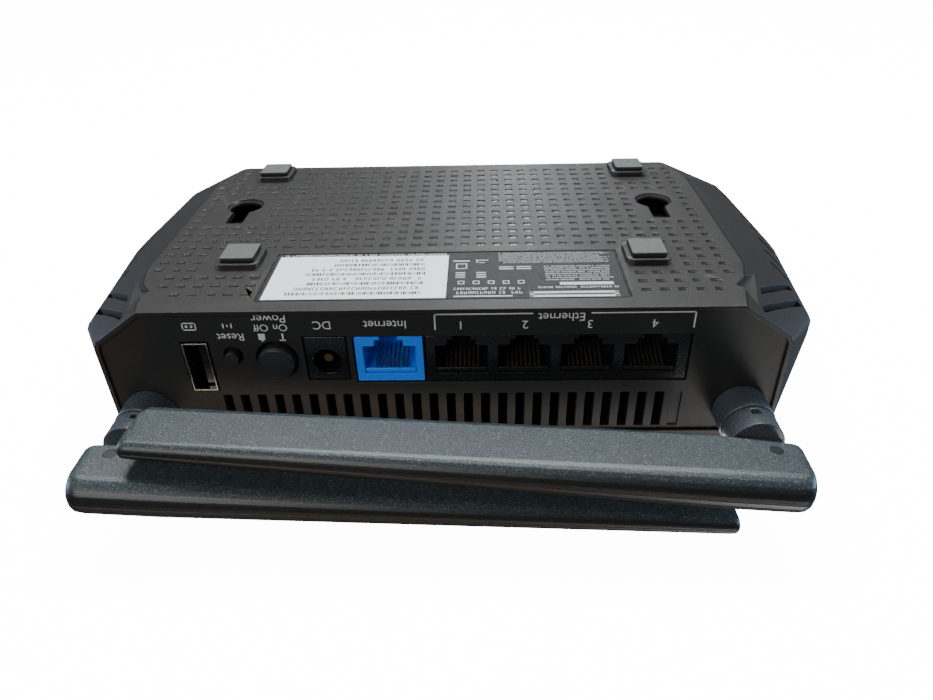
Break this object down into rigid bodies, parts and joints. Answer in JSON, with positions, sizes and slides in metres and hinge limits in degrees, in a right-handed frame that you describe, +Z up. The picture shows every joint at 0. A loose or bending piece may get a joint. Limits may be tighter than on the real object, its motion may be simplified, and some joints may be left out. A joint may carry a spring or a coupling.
{
  "type": "wireless router",
  "caption": "Wireless router with a faceted case on rubber feet, a rear socket panel, wall keyholes and blade antennas that swivel and fold.",
  "frame": {"origin": "centre of the pads' contact rectangle, on the plane of the feet", "axes": "+X to the router's left as seen from its front, along its width; +Y towards the rear socket panel; +Z up, from the feet to the top face"},
  "size_m": [0.188, 0.1452, 0.0449],
  "materials": {
    "case_lower": "fine satin texture",
    "case_upper": "fine matt texture",
    "panel": "matt",
    "antenna_plastic": "fine spark texture",
    "button_plastic": "satin",
    "foot_rubber": "matt",
    "label_film": "satin",
    "sticker_paper": "matt",
    "board": "satin",
    "chip_epoxy": "matt",
    "pad_silicone": "matt",
    "capacitor_sleeve": "gloss",
    "led_resin": "clear",
    "light_guide": "frosted",
    "lan_black": "gloss",
    "wan_blue": "gloss",
    "gold_contact": "polished",
    "plated_steel": "polished",
    "screw_steel": "zinc plated",
    "fin_aluminium": "mill finish",
    "radiator_copper": "bare copper",
    "coax_jacket": "matt"
  },
  "bodies": {
    "case": {"bottom_case": "case_lower", "top_case": "case_upper", "rear_panel": "panel", "case_screws": "screw_steel", "foot_front_left": "foot_rubber", "foot_front_right": "foot_rubber", "foot_rear_left": "foot_rubber", "foot_rear_right": "foot_rubber", "rating_label": "label_film", "serial_sticker": "sticker_paper", "main_board": "board", "board_screws": "screw_steel", "soc_chip": "chip_epoxy", "thermal_pad": "pad_silicone", "heat_sink": "fin_aluminium", "ram_chip": "chip_epoxy", "flash_chip": "chip_epoxy", "radio_chip": "chip_epoxy", "radio_shield": "screw_steel", "lan_transformers": "chip_epoxy", "power_inductor": "chip_epoxy", "capacitors": "capacitor_sleeve", "status_leds": "led_resin", "light_guide": "light_guide", "antenna_connectors": "gold_contact", "lan_jack_housing": "lan_black", "lan_jack_contacts": "gold_contact", "wan_jack_housing": "wan_blue", "wan_jack_contacts": "gold_contact", "dc_jack_housing": "lan_black", "dc_jack_pin": "plated_steel", "usb_shell": "plated_steel", "usb_tongue": "lan_black", "power_switch": "case_upper", "reset_switch": "case_upper", "left_collar": "antenna_plastic", "left_coax": "coax_jacket", "right_collar": "antenna_plastic", "right_coax": "coax_jacket"},
    "left_swivel_body": {"left_swivel": "antenna_plastic", "left_swivel_clip": "screw_steel", "left_fold_pin": "antenna_plastic"},
    "left_blade_body": {"left_blade_lower": "antenna_plastic", "left_blade_upper": "antenna_plastic", "left_radiator": "radiator_copper"},
    "right_swivel_body": {"right_swivel": "antenna_plastic", "right_swivel_clip": "screw_steel", "right_fold_pin": "antenna_plastic"},
    "right_blade_body": {"right_blade_lower": "antenna_plastic", "right_blade_upper": "antenna_plastic", "right_radiator": "radiator_copper"},
    "power_button_body": {"power_button": "button_plastic"},
    "reset_button_body": {"reset_button": "button_plastic"}
  },
  "joints": [
    {"name": "left_swivel", "type": "hinge", "parent": "case", "child": "left_swivel_body", "pos_m": [-0.0687, 0.053, 0.0299], "axis": [0, -1, 0], "range_deg": [0, 250]},
    {"name": "left_fold", "type": "hinge", "parent": "left_swivel_body", "child": "left_blade_body", "pos_m": [-0.0694, 0.073, 0.02983], "axis": [-0.0976, 0, 0.9952], "range_deg": [0, 90]},
    {"name": "right_swivel", "type": "hinge", "parent": "case", "child": "right_swivel_body", "pos_m": [0.0687, 0.053, 0.0299], "axis": [0, -1, 0], "range_deg": [0, 250]},
    {"name": "right_fold", "type": "hinge", "parent": "right_swivel_body", "child": "right_blade_body", "pos_m": [0.0694, 0.073, 0.02995], "axis": [0.068, 0, -0.9977], "range_deg": [0, 90]},
    {"name": "power_press", "type": "slide", "parent": "case", "child": "power_button_body", "axis": [0, -1, 0], "range_m": [0, 0.0016], "stiffness_N_per_m": 400},
    {"name": "reset_press", "type": "slide", "parent": "case", "child": "reset_button_body", "axis": [0, -1, 0], "range_m": [0, 0.0007], "stiffness_N_per_m": 400}
  ]
}
